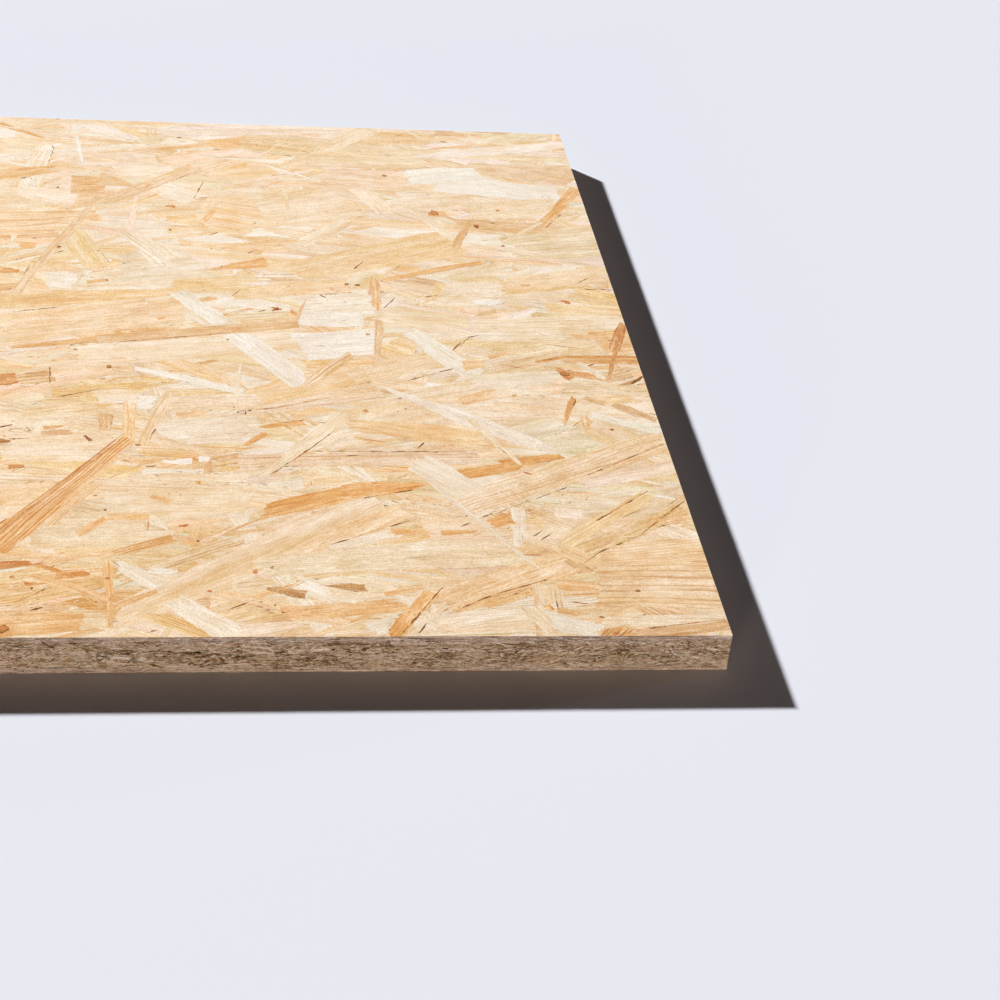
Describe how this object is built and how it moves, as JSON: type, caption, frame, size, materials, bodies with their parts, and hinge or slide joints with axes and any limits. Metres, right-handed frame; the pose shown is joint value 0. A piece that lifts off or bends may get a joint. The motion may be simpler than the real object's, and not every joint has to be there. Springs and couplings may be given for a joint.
{
  "type": "oriented strand board panel",
  "caption": "Flat rectangular oriented strand board panel with square sawn edges, for sheathing, decking, shelving and packing.",
  "frame": {"origin": "middle of the underside", "axes": "+X along the panel's length and the main direction of its face strands, +Y across its width, +Z out of its top face"},
  "size_m": [1.25, 0.5, 0.018],
  "materials": {
    "strand_board": "pressed softwood strands, matt, with sawn edges"
  },
  "bodies": {
    "root": {"osb_panel": "strand_board"}
  },
  "joints": []
}
